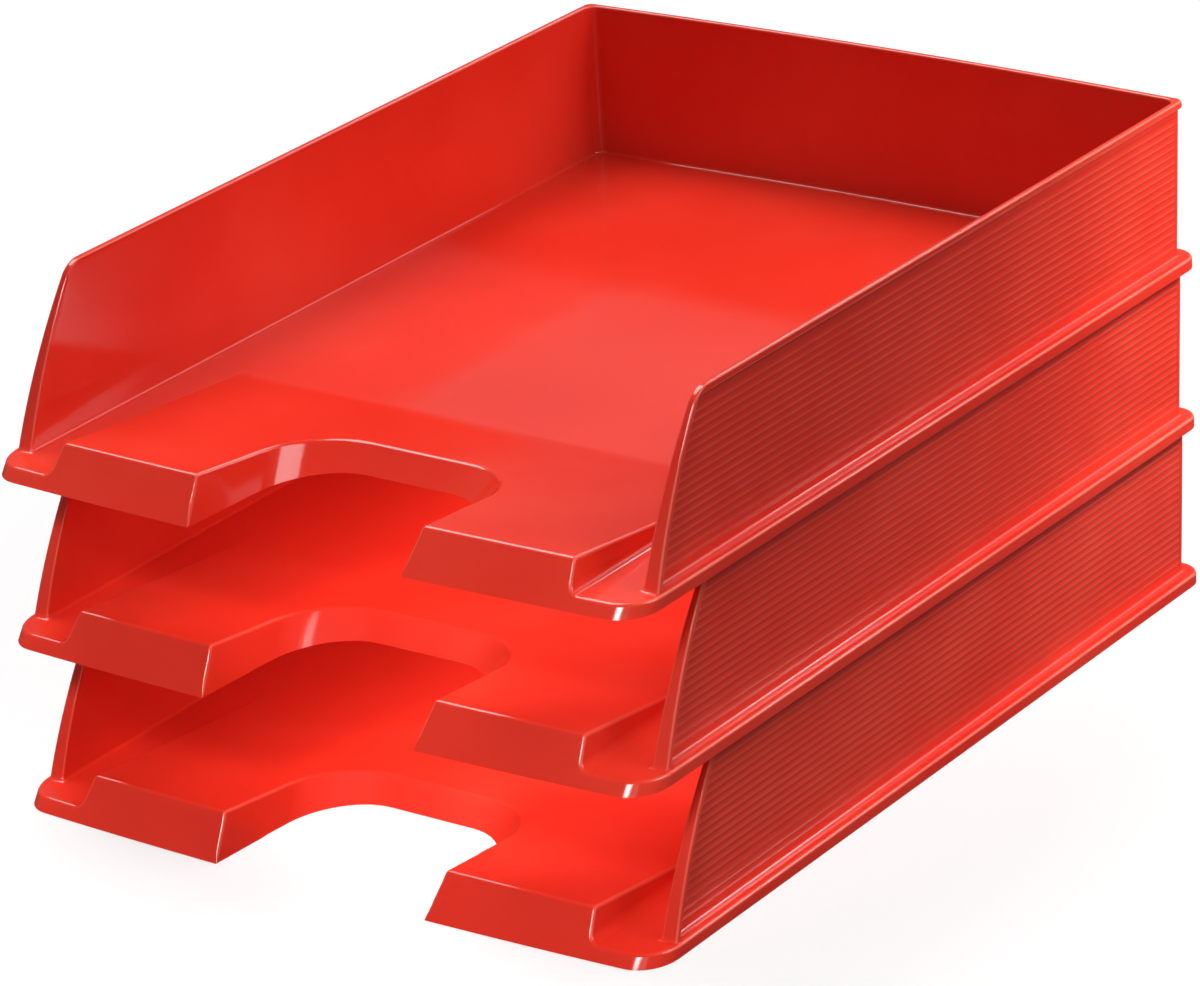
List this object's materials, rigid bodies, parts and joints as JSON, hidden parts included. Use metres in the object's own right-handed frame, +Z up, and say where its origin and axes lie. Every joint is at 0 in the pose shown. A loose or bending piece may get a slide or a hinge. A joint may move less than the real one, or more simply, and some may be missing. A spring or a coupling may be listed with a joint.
{
  "type": "letter tray stack",
  "caption": "Stack of open-front letter trays with flaring ribbed walls, a ramped front lip and a finger cut-out; each tray lifts off the rim below and holds A4 paper.",
  "frame": {"origin": "on the desk, under the middle of the stack", "axes": "+X to the right seen from the open front, +Y from the open front to the back, +Z up"},
  "size_m": [0.254, 0.3535, 0.1782],
  "materials": {
    "red_plastic": "glossy moulded plastic, coloured through"
  },
  "bodies": {
    "bottom": {"bottom_tray": "red_plastic"},
    "middle": {"middle_tray": "red_plastic"},
    "top": {"top_tray": "red_plastic"}
  },
  "joints": [
    {"name": "middle_lift", "type": "slide", "parent": "bottom", "child": "middle", "axis": [0, 0, 1], "range_m": [0, 0.1]},
    {"name": "top_lift", "type": "slide", "parent": "middle", "child": "top", "axis": [0, 0, 1], "range_m": [0, 0.1]}
  ]
}
